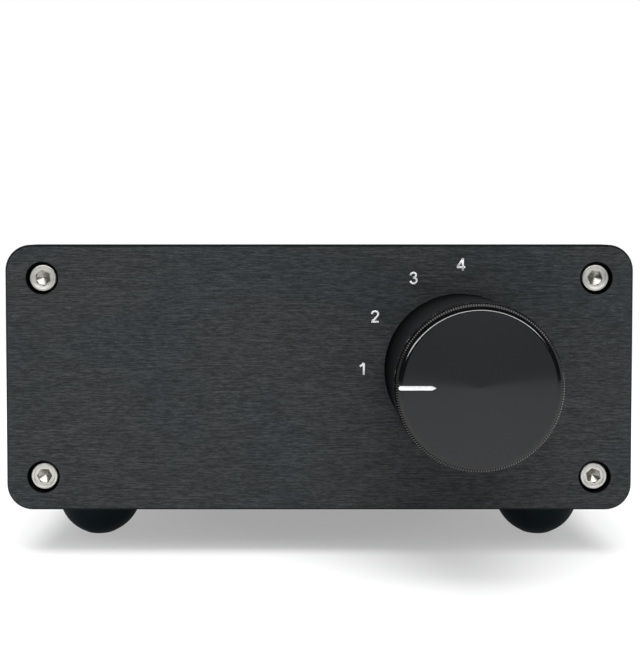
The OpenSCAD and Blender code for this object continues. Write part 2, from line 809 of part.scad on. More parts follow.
// Helix about +Z as one tube: rings of 6 sides, 8 rings a turn
module detent_spring() {
    coil_r = ball_bore_r - spring_wire / 2 - ball_play;
    rise = spring_len - spring_wire;
    rings = 8 * spring_turns;
    sides = 6;
    wire_r = spring_wire / 2;
    points = [for (i = [0 : rings], s = [0 : sides - 1])
        let (turn = 360 * i / 8, side = 360 * s / sides, r = coil_r + wire_r * cos(side))
        [r * cos(turn), r * sin(turn), wire_r + rise * i / rings + wire_r * sin(side)]];
    skin = [for (i = [0 : rings - 1], s = [0 : sides - 1], half = [0, 1])
        let (a = i * sides + s, b = i * sides + (s + 1) % sides)
        half == 0 ? [a, b, b + sides] : [a, b + sides, a + sides]];
    ends = [for (s = [1 : sides - 2], end = [0, 1])
        end == 0 ? [0, s + 1, s] : [rings * sides, rings * sides + s, rings * sides + s + 1]];
    echo(detent_spring_gap = rise / spring_turns - spring_wire);
    color("#9a9c9e") at_shaft() translate([0, ball_y, spring_z])
        polyhedron(points = points, faces = concat(skin, ends));
}

module rotor() {
    tab_r = rotor_room_d / 2 - turn_gap;
    color("#e3ddcb") at_shaft() slab(y_rotor, y_rotor_end) difference() {
        union() {
            circle(d = rotor_d);
            ring_sector(shaft_d, tab_r, tab_deg - tab_half, tab_deg + tab_half);
        }
        circle(d = shaft_d + 2 * press_play);
    }
}

module wiper_contacts() {
    inner = common_r - blade_w / 2;
    outer = contact_r + contact_d / 2;
    color("#c9a24a") at_shaft() slab(y_rotor_end, y_rotor_end + blade_t) for (sx = [-1, 1]) {
        translate([sx * (inner + outer) / 2, 0]) square([outer - inner, blade_w], center = true);
    }
}

// Copies at the contact pins: four positions of each pole, and a common of each
module at_contacts() {
    for (pole = [0, 180], i = [0 : positions - 1]) {
        rotate(pole + 180 - i * step_deg) translate([contact_r, 0]) children();
    }
    for (pole = [0, 180]) {
        rotate(pole + 180 - turn_range / 2) translate([common_r, 0]) children();
    }
}

module contact_holes() {
    at_contacts() circle(d = contact_pin_d + 2 * contact_play);
}

module contact_wafer() {
    color("#8a5a2b") at_shaft() slab(y_wafer, y_wafer_end) difference() {
        eared_disc();
        circle(d = pilot_d + 2 * shaft_play);
        tie_holes();
        contact_holes();
    }
}

module contact_pins() {
    half_w = contact_d / 2;
    color("#d8d2c0") at_shaft() {
        slab(y_pads, y_wafer) {
            for (pole = [0, 180]) {
                for (i = [0 : positions - 1]) {
                    rotate(pole + 180 - i * step_deg) translate([contact_r, 0]) circle(d = contact_d);
                }
                ring_sector(common_r - half_w, common_r + half_w, pole + 180 - turn_range, pole + 180);
            }
        }
        slab(y_wafer, y_board_end + pin_show) at_contacts() circle(d = contact_pin_d);
    }
}

module switch_tie_screws() {
    color("#b0b2b4") at_shaft() for (sx = [-1, 1]) {
        rod(sx * tie_x, 0, y_plate, y_wafer_end, tie_d);
        rod(sx * tie_x, 0, y_wafer_end, y_wafer_end + tie_head_h, tie_head_d);
    }
}

module switch_board() {
    color("#1f5d3a") at_shaft() slab(y_board, y_board_end) difference() {
        square([switch_board_w, switch_board_h], center = true);
        contact_holes();
    }
}

module rear_board() {
    left = jack_xs[4] - lug_leg_r - rear_board_edge;
    right = out_x + rear_board_edge;
    color("#1f5d3a") difference() {
        slab(y_rear_board - board_t, y_rear_board) translate([left, z_mid - rear_board_h / 2])
            square([right - left, rear_board_h]);
        at_jacks() {
            rod(0, 0, -tail_len, -stem_len, tail_d + 2 * contact_play);
            translate([-lug_leg_r - lug_t / 2, -(tail_len + stem_len) / 2, 0])
                cube([lug_t + 2 * contact_play, tail_len - stem_len, lug_leg_w + 2 * contact_play],
                    center = true);
        }
    }
}

module ribbon_cable() {
    x_plug = header_x - header_w / 2;
    x_bend = x_plug - ribbon_lead;
    x_run = x_bend - ribbon_r;
    y_a = y_plug_a + plug_h / 2;
    y_b = y_plug_b + plug_h / 2;
    r0 = ribbon_r - ribbon_t / 2;
    r1 = ribbon_r + ribbon_t / 2;
    color("#9a9da0") translate([0, 0, z_knob - ribbon_w / 2]) linear_extrude(ribbon_w) {
        for (y = [y_a, y_b]) {
            translate([x_bend, y - ribbon_t / 2]) square([ribbon_lead, ribbon_t]);
        }
        translate([x_run - ribbon_t / 2, y_a + ribbon_r]) square([ribbon_t, y_b - y_a - 2 * ribbon_r]);
        translate([x_bend, y_a + ribbon_r]) quarter_ring(r0, r1, -1);
        translate([x_bend, y_b - ribbon_r]) quarter_ring(r0, r1, 1);
    }
}

// Quarter of a ring on the -X side, below or above the X axis
module quarter_ring(r0, r1, sy) {
    intersection() {
        difference() {
            circle(r = r1);
            circle(r = r0);
        }
        translate([-r1, sy < 0 ? -r1 : 0]) square(r1);
    }
}

// Block on the ribbon's line between two places along Y
module ribbon_block(y0, y1) {
    translate([header_x - header_w / 2, y0, z_knob - header_len / 2])
        cube([header_w, y1 - y0, header_len]);
}

module ribbon_plugs() {
    color("#2d2f33") {
        ribbon_block(y_plug_a, y_plug_a + plug_h);
        ribbon_block(y_plug_b, y_plug_b + plug_h);
    }
}

module board_headers() {
    color("#17181a") {
        ribbon_block(y_board_end, y_plug_a);
        ribbon_block(y_plug_b + plug_h, y_rear_board - board_t);
    }
}

// One gold shell: hexagon, root ring, neck and front band outside, threaded stem inside
module jack_shell(row, i) {
    turn = row > 0 ? hex_turns_top[i] : hex_turns_bottom[i];
    face_r = hex_w / 2 - hex_inset;
    blank_r = hex_w / 2 / cos(30) + cut;
    band_r = barrel_d / 2;
    neck_r = neck_d / 2;
    color("#d9b44a") translate([jack_xs[i], y_rear, z_mid + row * row_z]) difference() {
        union() {
            intersection() {
                hex_rod(0, 0, hex_at, root_at, hex_w, -turn);
                turned(0, 0, hex_at, [[0, 0], [blank_r, 0],
                    [blank_r, hex_t - (blank_r - face_r) * tan(hex_slope)], [face_r, hex_t], [0, hex_t]]);
            }
            turned(0, 0, 0, [[0, -stem_len], [stem_d / 2, -stem_len], [stem_d / 2, root_at],
                [root_d / 2, root_at], [root_d / 2, neck_at], [neck_r, neck_at], [neck_r, band_at],
                [band_r, band_at], [band_r, jack_out - barrel_bevel],
                [band_r - barrel_bevel, jack_out], [0, jack_out]]);
        }
        rod(0, 0, -stem_len - cut, jack_out + cut, core_d + 2 * core_play);
    }
}

module outer_washer() {
    r = jack_washer_d / 2;
    bore = stem_hole_d / 2;
    turned(0, 0, 0, [[bore, -shoulder_len], [shoulder_d / 2, -shoulder_len], [shoulder_d / 2, 0],
        [r, 0], [r, jack_washer_t - jack_washer_bevel], [r - jack_washer_bevel, jack_washer_t],
        [bore, jack_washer_t]]);
}

module outer_washers(row, tint) {
    color(tint) at_row(row) outer_washer();
}

module jack_cores(row, tint) {
    core_front = jack_out - core_sunk;
    color(tint) at_row(row) turned(0, 0, 0, [[contact_od / 2 + core_play, core_back],
        [core_d / 2, core_back], [core_d / 2, core_front], [pin_hole_d / 2, core_front],
        [pin_hole_d / 2, contact_start], [contact_od / 2 + core_play, contact_start]]);
}

module centre_contacts() {
    floor_at = core_back + contact_floor;
    color("#d9b44a") at_jacks() turned(0, 0, 0, [[0, -tail_len], [tail_d / 2, -tail_len],
        [tail_d / 2, core_back], [contact_od / 2, core_back], [contact_od / 2, contact_start - core_play],
        [contact_id / 2, contact_start - core_play], [contact_id / 2, floor_at], [0, floor_at]]);
}

module inner_washers() {
    bore = stem_hole_d / 2;
    back = -rear_t - inner_washer_t;
    color("#1c1c1c") at_jacks() turned(0, 0, 0, [[bore, back], [inner_washer_d / 2, back],
        [inner_washer_d / 2, -rear_t], [shoulder_d / 2, -rear_t], [shoulder_d / 2, -rear_t + shoulder_len],
        [bore, -rear_t + shoulder_len]]);
}

module ground_lugs() {
    leg_out = lug_leg_r + lug_t;
    color("#cfcab5") at_jacks() {
        slab(lug_at, lug_at + lug_t) difference() {
            union() {
                circle(d = lug_d);
                translate([-leg_out, -lug_leg_w / 2]) square([leg_out, lug_leg_w]);
            }
            circle(d = stem_hole_d);
        }
        translate([-leg_out, -tail_len, -lug_leg_w / 2]) cube([lug_t, tail_len + lug_at, lug_leg_w]);
    }
}

module jack_nuts() {
    color("#d9b44a") at_jacks() difference() {
        hex_rod(0, 0, lug_at - inner_nut_t, lug_at, inner_nut_w, 0);
        rod(0, 0, lug_at - inner_nut_t - cut, lug_at + cut, stem_hole_d);
    }
}

body_sleeve();
front_panel();
rear_panel();
front_screws();
rear_screws();
foot(-1, y_foot_front);  // foot_front_left
foot(1, y_foot_front);  // foot_front_right
foot(-1, y_foot_rear);  // foot_rear_left
foot(1, y_foot_rear);  // foot_rear_right
foot_pads();
knob();
knob_pointer();
knob_set_screw();
switch_shaft();
shaft_clip();
switch_bushing();
switch_nut();
switch_washer();
index_plate();
index_housing();
index_cam();
detent_ball();
detent_spring();
rotor();
wiper_contacts();
contact_wafer();
contact_pins();
switch_tie_screws();
switch_board();
rear_board();
ribbon_cable();
ribbon_plugs();
board_headers();
for (i = [0 : 4]) {
    jack_shell(1, i);
    jack_shell(-1, i);
}
outer_washers(1, "#a32426");  // outer_washers_red
outer_washers(-1, "#141414");  // outer_washers_black
jack_cores(1, "#a32426");  // jack_cores_red
jack_cores(-1, "#141414");  // jack_cores_black
centre_contacts();
inner_washers();
ground_lugs();
jack_nuts();
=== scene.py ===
import math

import bpy
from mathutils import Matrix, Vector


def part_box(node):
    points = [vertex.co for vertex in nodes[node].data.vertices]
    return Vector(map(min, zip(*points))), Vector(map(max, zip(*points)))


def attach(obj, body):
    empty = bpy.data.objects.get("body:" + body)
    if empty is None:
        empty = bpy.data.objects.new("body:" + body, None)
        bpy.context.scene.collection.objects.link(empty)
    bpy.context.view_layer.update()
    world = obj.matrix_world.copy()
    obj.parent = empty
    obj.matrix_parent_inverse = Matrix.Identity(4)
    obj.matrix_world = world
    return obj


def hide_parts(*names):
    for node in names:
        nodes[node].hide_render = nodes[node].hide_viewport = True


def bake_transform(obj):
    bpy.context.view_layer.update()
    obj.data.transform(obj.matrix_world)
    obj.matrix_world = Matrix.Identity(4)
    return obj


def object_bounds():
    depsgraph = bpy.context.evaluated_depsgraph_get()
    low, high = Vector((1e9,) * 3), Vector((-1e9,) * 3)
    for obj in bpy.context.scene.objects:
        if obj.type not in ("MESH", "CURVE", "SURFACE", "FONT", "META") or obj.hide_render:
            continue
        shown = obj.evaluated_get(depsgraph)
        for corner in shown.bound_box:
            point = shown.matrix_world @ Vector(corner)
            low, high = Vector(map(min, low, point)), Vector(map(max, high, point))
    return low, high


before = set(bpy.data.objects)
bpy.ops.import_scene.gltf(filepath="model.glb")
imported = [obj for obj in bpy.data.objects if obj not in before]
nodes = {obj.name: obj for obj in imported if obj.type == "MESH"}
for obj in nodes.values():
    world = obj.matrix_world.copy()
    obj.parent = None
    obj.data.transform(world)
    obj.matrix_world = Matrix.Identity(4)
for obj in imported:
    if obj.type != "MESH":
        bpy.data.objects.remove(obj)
cad_low, cad_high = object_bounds()
MM = 0.001

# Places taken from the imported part, in metres
knob_low, knob_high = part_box("knob")
knob_x = (knob_low.x + knob_high.x) / 2
knob_z = (knob_low.z + knob_high.z) / 2
front_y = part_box("front_panel")[0].y
rear_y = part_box("rear_panel")[1].y
TOWARDS_FRONT = math.radians(90)
TOWARDS_BACK = math.radians(-90)

# Columns and rows of the jacks, and how far each hexagon, cross and socket is turned, in degrees
COLUMNS = ["out", "in1", "in2", "in3", "in4"]
ROWS = ["right", "left"]
HEX_TURNS = {"right": [3, 8, 33, 34, 21], "left": [3, 9.5, -8.5, -9, 15.5]}
CROSS_TURNS = [28, 62, 24, 70]
SOCKET_TURNS = [24, 8, 2, 20]


# Modelling

def put_down():
    """Back to object mode with nothing selected."""
    if bpy.context.mode != "OBJECT":
        bpy.ops.object.mode_set(mode="OBJECT")
    bpy.ops.object.select_all(action="DESELECT")


def take(*pieces):
    """Selects these pieces and makes the first one active."""
    put_down()
    for piece in pieces:
        piece.select_set(True)
    bpy.context.view_layer.objects.active = pieces[0]


def pick(piece, test):
    """In edit mode, selects the points whose place in millimetres passes the test."""
    bpy.ops.mesh.select_mode(type="VERT")
    bpy.ops.mesh.select_all(action="DESELECT")
    bpy.ops.object.mode_set(mode="OBJECT")
    for point in piece.data.vertices:
        point.select = test(point.co / MM)
    bpy.ops.object.mode_set(mode="EDIT")


def clean(piece):
    """Merges doubles and turns all faces outwards."""
    take(piece)
    bpy.ops.object.mode_set(mode="EDIT")
    bpy.ops.mesh.select_all(action="SELECT")
    bpy.ops.mesh.remove_doubles(threshold=0.0005 * MM)
    bpy.ops.mesh.normals_make_consistent(inside=False)
    put_down()
    return piece


def turn_on_lathe(name, sides, rings):
    """A ring of edges drawn out along +Z from ring to ring, each a radius and a height in millimetres.

    A first radius of 0 caps the second ring flat, and a last one draws the end to a point.
    """
    put_down()
    capped = rings[0][0] == 0
    radius, height = rings[1] if capped else rings[0]
    bpy.ops.mesh.primitive_circle_add(
        vertices=sides, radius=radius * MM, fill_type="TRIFAN" if capped else "NOTHING",
        enter_editmode=True, location=(0, 0, 0))
    piece = bpy.context.object
    piece.name = name
    bpy.ops.transform.translate(value=(0, 0, height * MM))
    if capped:
        bpy.ops.mesh.select_all(action="DESELECT")
        bpy.ops.mesh.select_non_manifold()
    for new_radius, new_height in rings[2 if capped else 1:]:
        rise = (new_height - height) * MM
        bpy.ops.mesh.extrude_edges_move(TRANSFORM_OT_translate={"value": (0, 0, rise)})
        if new_radius == 0:
            bpy.ops.mesh.merge(type="CENTER")
        else:
            grow = new_radius / radius
            bpy.ops.transform.resize(value=(grow, grow, 1), center_override=(0, 0, 0))
        radius, height = new_radius, new_height
    return clean(piece)


def finish_with(piece, kind, **settings):
    """Adds a modifier with these settings and applies it."""
    take(piece)
    modifier = piece.modifiers.new(kind.lower(), kind)
    for key, value in settings.items():
        setattr(modifier, key, value)
    bpy.ops.object.modifier_apply(modifier=modifier.name)
    return piece


def carve(piece, tool, operation="DIFFERENCE"):
    """Cuts a piece with a tool, or joins the two, and throws the tool away."""
    finish_with(piece, "BOOLEAN", operation=operation, object=tool, solver="EXACT")
    bpy.data.objects.remove(tool)
    return clean(piece)


def soften(piece, width, segments=2, angle=35):
    """Rounds the sharp edges of a piece."""
    return finish_with(piece, "BEVEL", width=width * MM, segments=segments,
                       limit_method="ANGLE", angle_limit=math.radians(angle))


def smooth(piece, angle=32):
    take(piece)
    bpy.ops.object.shade_smooth_by_angle(angle=math.radians(angle))
    return piece


def stand(piece, place, tilt=0, turn=0):
    """Sets a piece in its place: tilted about X, then turned about Y in degrees."""
    take(piece)
    piece.rotation_euler = (tilt, math.radians(turn), 0)
    piece.location = place
    bpy.ops.object.transform_apply(location=True, rotation=True, scale=True)
    return piece


def copy_of(piece, name):
    twin = piece.copy()
    twin.data = piece.data.copy()
    twin.name = name
    bpy.context.scene.collection.objects.link(twin)
    return twin


def join(name, pieces):
    take(*pieces)
    bpy.ops.object.join()
    whole = bpy.context.object
    whole.name = name
    return whole


def mount(piece, body, slot, material, *stands_for):
    """Gives a finished piece its body, its finish and the nodes it stands for; its slot is not used."""
    piece.data.materials.clear()
    piece.data.materials.append(material)
    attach(piece, body)
    if stands_for:
        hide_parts(*stands_for)
    return piece


def refinish(piece, material, test):
    """Gives a second finish to the faces whose middle in millimetres and normal pass the test."""
    piece.data.materials.append(material)
    for face in piece.data.polygons:
        if test(face.center / MM, face.normal):
            face.material_index = len(piece.data.materials) - 1


# Finishes

WAVE_LENGTH = 0.314  # length of one wave of a wave texture at scale 1


class Finish:
    """A material with a Principled shader, whose patterns lie on object coordinates in metres."""

    def __init__(self, name, colour, roughness, metallic=0.0, **sockets):
        self.material = bpy.data.materials.new(name)
        self.material.use_nodes = True
        self.tree = self.material.node_tree
        self.shader = self.tree.nodes["Principled BSDF"]
        self.shader.inputs["Base Color"].default_value = (*colour, 1)
        self.shader.inputs["Roughness"].default_value = roughness
        self.shader.inputs["Metallic"].default_value = metallic
        for socket, value in sockets.items():
            self.shader.inputs[socket.replace("_", " ")].default_value = value

    def node(self, kind, **settings):
        made = self.tree.nodes.new("ShaderNode" + kind)
        for key, value in settings.items():
            setattr(made, key, value)
        return made

    def link(self, source, target):
        self.tree.links.new(source, target)

    def coords(self, scale, centre=(0, 0, 0)):
        """Object coordinates about a centre, drawn out by a scale."""
        places = self.node("TexCoord")
        mapping = self.node("Mapping")
        mapping.inputs["Location"].default_value = [-c * s for c, s in zip(centre, scale)]
        mapping.inputs["Scale"].default_value = scale
        self.link(places.outputs["Object"], mapping.inputs["Vector"])
        return mapping.outputs["Vector"]

    def noise(self, scale, detail=2.0, roughness=0.5):
        made = self.node("TexNoise")
        made.inputs["Scale"].default_value = 1
        made.inputs["Detail"].default_value = detail
        made.inputs["Roughness"].default_value = roughness
        self.link(self.coords(scale), made.inputs["Vector"])
        return made.outputs["Fac"]

    def cells(self, scale, feature="F1"):
        made = self.node("TexVoronoi", feature=feature)
        made.inputs["Scale"].default_value = 1
        self.link(self.coords(scale), made.inputs["Vector"])
        return made.outputs["Distance"]

    def rings(self, pitch, centre, direction="Y", distortion=0.0):
        """Concentric turning marks about an axis."""
        made = self.node("TexWave", wave_type="RINGS", rings_direction=direction)
        made.inputs["Scale"].default_value = 1
        made.inputs["Distortion"].default_value = distortion
        made.inputs["Detail"].default_value = 2
        scale = WAVE_LENGTH / pitch
        self.link(self.coords((scale, scale, scale), centre), made.inputs["Vector"])
        return made.outputs["Fac"]

    def lines(self, scale, direction="X"):
        made = self.node("TexWave", wave_type="BANDS", bands_direction=direction)
        made.inputs["Scale"].default_value = 1
        self.link(self.coords(scale), made.inputs["Vector"])
        return made.outputs["Fac"]

    def reach(self, axis):
        """Distance in metres from an axis along Y."""
        made = self.node("VectorMath", operation="LENGTH")
        self.link(self.coords((1, 0, 1), axis), made.inputs[0])
        return made.outputs["Value"]

    def blend(self, first, second, share):
        """Mean of two patterns, weighted by a number or by a third pattern."""
        made = self.node("Mix", data_type="FLOAT")
        if isinstance(share, float):
            made.inputs["Factor"].default_value = share
        else:
            self.link(share, made.inputs["Factor"])
        self.link(first, made.inputs[2])
        self.link(second, made.inputs[3])
        return made.outputs[0]

    def spread(self, pattern, low, high, to_low, to_high):
        made = self.node("MapRange")
        for key, value in (("From Min", low), ("From Max", high), ("To Min", to_low), ("To Max", to_high)):
            made.inputs[key].default_value = value
        self.link(pattern, made.inputs["Value"])
        return made.outputs["Result"]

    def tint(self, pattern, *stops):
        """Colours along a pattern: (place, colour) pairs."""
        ramp = self.node("ValToRGB")
        elements = ramp.color_ramp.elements
        while len(elements) < len(stops):
            elements.new(0.5)
        for element, (place, colour) in zip(elements, stops):
            element.position = place
            element.color = (*colour, 1)
        self.link(pattern, ramp.inputs["Fac"])
        return ramp.outputs["Color"]

    def place(self, axis):
        """Object coordinate along an axis, in metres."""
        places = self.node("TexCoord")
        parts = self.node("SeparateXYZ")
        self.link(places.outputs["Object"], parts.inputs["Vector"])
        return parts.outputs[axis]

    def facing(self, axis):
        """How far the surface faces along an axis of the piece, 0 to 1."""
        places = self.node("TexCoord")
        parts = self.node("SeparateXYZ")
        size = self.node("Math", operation="ABSOLUTE")
        self.link(places.outputs["Normal"], parts.inputs["Vector"])
        self.link(parts.outputs[axis], size.inputs[0])
        return size.outputs[0]

    def tinted(self, colour, shade):
        """A colour pattern darkened by a second one."""
        mixed = self.node("Mix", data_type="RGBA", blend_type="MULTIPLY")
        mixed.inputs["Factor"].default_value = 1
        self.link(colour, mixed.inputs[6])
        self.link(shade, mixed.inputs[7])
        return mixed.outputs[2]

    def colour_from(self, colour, shade=None):
        """Base colour, darkened by a second colour pattern if there is one."""
        if shade is not None:
            colour = self.tinted(colour, shade)
        self.link(colour, self.shader.inputs["Base Color"])
        return self

    def dull(self, pattern, low, high, smoothest, roughest):
        self.link(self.spread(pattern, low, high, smoothest, roughest), self.shader.inputs["Roughness"])
        return self

    def relief(self, pattern, height, strength=1.0):
        """Bump of a height in millimetres, on top of any bump before it."""
        bump = self.node("Bump")
        bump.inputs["Strength"].default_value = strength
        bump.inputs["Distance"].default_value = height * MM
        self.link(pattern, bump.inputs["Height"])
        normal = self.shader.inputs["Normal"]
        if normal.is_linked:
            self.link(normal.links[0].from_socket, bump.inputs["Normal"])
        self.link(bump.outputs["Normal"], normal)
        return self

    def along(self, axis):
        """Brushing direction: round an axis of the piece."""
        tangent = self.node("Tangent", direction_type="RADIAL", axis=axis)
        self.link(tangent.outputs["Tangent"], self.shader.inputs["Tangent"])
        return self


def brushed_panel():
    """Black anodised aluminium: faces brushed from side to side, edges plain and darkened with painted
    shade.
    """
    made = Finish("panel_black_brushed", (0.02, 0.021, 0.022), 0.44,
                  Specular_IOR_Level=0.06, Anisotropic=0.5, Anisotropic_Rotation=0.25)
    short = made.noise((620, 620, 5000), 3, 0.6)
    long = made.noise((130, 130, 6200), 2, 0.55)
    grain = made.noise((2600, 2600, 5200), 2, 0.6)
    faces = made.spread(made.facing("Y"), 0.75, 0.96, 0.0, 1.0)
    streaks = made.blend(grain, made.blend(made.blend(short, long, 0.42), grain, 0.2), faces)
    cloud = made.noise((34, 34, 48), 2, 0.5)
    colour = made.tint(streaks, (0.37, (0.015, 0.0165, 0.0174)), (0.5, (0.0282, 0.0306, 0.032)),
                       (0.63, (0.057, 0.061, 0.0634)))
    shade = made.tint(cloud, (0.35, (0.92, 0.97, 1.0)), (0.65, (1.0, 0.98, 0.95)))
    # Painted shade: the bevelled edges, away from the faces, are darkened to a fifth
    edge = made.tint(faces, (0.0, (0.2, 0.2, 0.2)), (1.0, (1, 1, 1)))
    made.colour_from(made.tinted(colour, shade), edge)
    made.dull(streaks, 0.37, 0.63, 0.52, 0.36)
    made.relief(streaks, 0.012)
    return made.along("Z").material


def drawn_sleeve():
    """Black anodised extrusion with faint die lines along its length."""
    made = Finish("sleeve_black_satin", (0.016, 0.0165, 0.0175), 0.58, Specular_IOR_Level=0.2)
    die = made.noise((2600, 25, 2600), 2, 0.55)
    grain = made.noise((5200, 5200, 5200), 2)
    colour = made.tint(made.blend(die, grain, 0.5),
                       (0.36, (0.0105, 0.011, 0.012)), (0.66, (0.026, 0.027, 0.0285)))
    made.colour_from(colour)
    made.dull(die, 0.35, 0.65, 0.54, 0.64)
    return made.relief(grain, 0.006).relief(die, 0.004).material


def spun_face():
    """Face of the knob: fine circles round its axis, shaded as a shallow cone."""
    made = Finish("knob_black_spun", (0.0145, 0.0155, 0.0162), 0.1, Specular_IOR_Level=0.25,
                  Anisotropic=0.4, Anisotropic_Rotation=0.25)
    axis = (knob_x, 0, knob_z)
    pitch = 0.21 * MM
    cone_rise = -34
    circles = made.rings(pitch, axis)
    made.colour_from(made.tint(circles, (0.1, (0.0136, 0.0146, 0.0153)), (0.9, (0.0154, 0.0164, 0.0171))))
    made.dull(circles, 0, 1, 0.09, 0.115)
    made.relief(made.reach(axis), cone_rise)
    made.relief(circles, 0.0001)
    return made.along("Y").material


def turned_side():
    """Side of the knob: dull black with faint turning marks, darker towards its foot with painted shade."""
    made = Finish("knob_black_turned_painted_shade", (0.0105, 0.011, 0.0115), 0.6, Specular_IOR_Level=0.0)
    marks = made.noise((60, 4200, 60), 3, 0.6)
    # Painted shade: the side's colour falls to a fifth towards its foot by the panel, as if shaded there
    foot = made.spread(made.place("Y"), knob_high.y, knob_low.y, 0.0, 1.0)
    made.colour_from(made.tint(marks, (0.35, (0.0078, 0.0083, 0.0088)), (0.65, (0.0132, 0.0137, 0.0142))),
                     made.tint(foot, (0.1, (0.2, 0.2, 0.2)), (0.9, (1, 1, 1))))
    made.dull(marks, 0.3, 0.7, 0.55, 0.65)
    return made.material


def polished_edge():
    """Rounded edge of the knob: cut bright, so it mirrors the room in black."""
    made = Finish("knob_black_polished", (0.002, 0.0022, 0.0024), 0.1, Specular_IOR_Level=0.44)
    marks = made.noise((900, 900, 900), 3, 0.6)
    made.colour_from(made.tint(marks, (0.35, (0.0015, 0.0017, 0.0019)), (0.65, (0.0026, 0.0028, 0.003))))
    made.dull(marks, 0.3, 0.7, 0.09, 0.12)
    return made.material


def metal(name, dark, light, roughness, scale=(900, 900, 900), height=0.003, spread=0.25, **sockets):
    """Bare or plated metal with cloudy tone and fine handling marks."""
    made = Finish(name, light, roughness, 1.0, **sockets)
    cloud = made.noise(scale, 3, 0.6)
    fine = made.noise([s * 5 for s in scale], 2, 0.6)
    made.colour_from(made.tint(cloud, (0.32, dark), (0.6, light)))
    made.dull(made.blend(cloud, fine, 0.5), 0.3, 0.7, roughness * (1 - spread), roughness * (1 + spread))
    return made.relief(fine, height).material


def moulded(name, dark, light, roughness, scale=1400, height=0.004, **sockets):
    """Moulded plastic or rubber: faint flow in the colour and a fine skin."""
    made = Finish(name, light, roughness, **sockets)
    flow = made.noise([scale / 9] * 3, 3, 0.55)
    skin = made.noise([scale * 3] * 3, 2, 0.6)
    made.colour_from(made.tint(flow, (0.3, dark), (0.7, light)))
    made.dull(made.blend(flow, skin, 0.5), 0.3, 0.7, roughness * 0.85, roughness * 1.18)
    return made.relief(skin, height).material


def foam():
    made = Finish("pad_foam_cells", (0.012, 0.012, 0.012), 0.9)
    cells = made.cells((2600, 2600, 2600))
    made.colour_from(made.tint(cells, (0.1, (0.02, 0.02, 0.02)), (0.7, (0.006, 0.006, 0.006))))
    return made.relief(cells, 0.08).material


def paper_board(name, dark, light):
    """Pressed fibre sheet with a mottled weave."""
    made = Finish(name, light, 0.5)
    fibre = made.blend(made.noise((1500, 300, 300), 3), made.noise((300, 300, 1500), 3), 0.5)
    made.colour_from(made.tint(fibre, (0.38, dark), (0.62, light)))
    return made.relief(fibre, 0.01).material


def circuit_board():
    """Green solder mask over copper areas and the glass weave."""
    made = Finish("board_green_mask", (0.012, 0.085, 0.038), 0.32, Coat_Weight=0.3, Coat_Roughness=0.2)
    copper = made.cells((210, 210, 210), "DISTANCE_TO_EDGE")
    weave = made.blend(made.lines((450, 450, 450), "X"), made.lines((450, 450, 450), "Z"), 0.5)
    made.colour_from(made.tint(copper, (0.04, (0.006, 0.045, 0.02)), (0.07, (0.016, 0.11, 0.05))),
                     made.tint(weave, (0.2, (0.86, 0.86, 0.86)), (0.8, (1, 1, 1))))
    return made.relief(copper, 0.02).material


def flat_ribbon():
    """Grey ribbon: ten round wires side by side, with painted shade in the grooves between them."""
    made = Finish("ribbon_grey_wires", (0.33, 0.34, 0.35), 0.45)
    waves_per_metre = 247.4
    wires = made.lines((0, 0, waves_per_metre), "Z")
    # Painted shade: the colour darkens in the bump's troughs between the wires
    made.colour_from(made.tint(wires, (0.0, (0.16, 0.165, 0.17)), (0.45, (0.36, 0.37, 0.38))))
    return made.relief(wires, 0.12).material


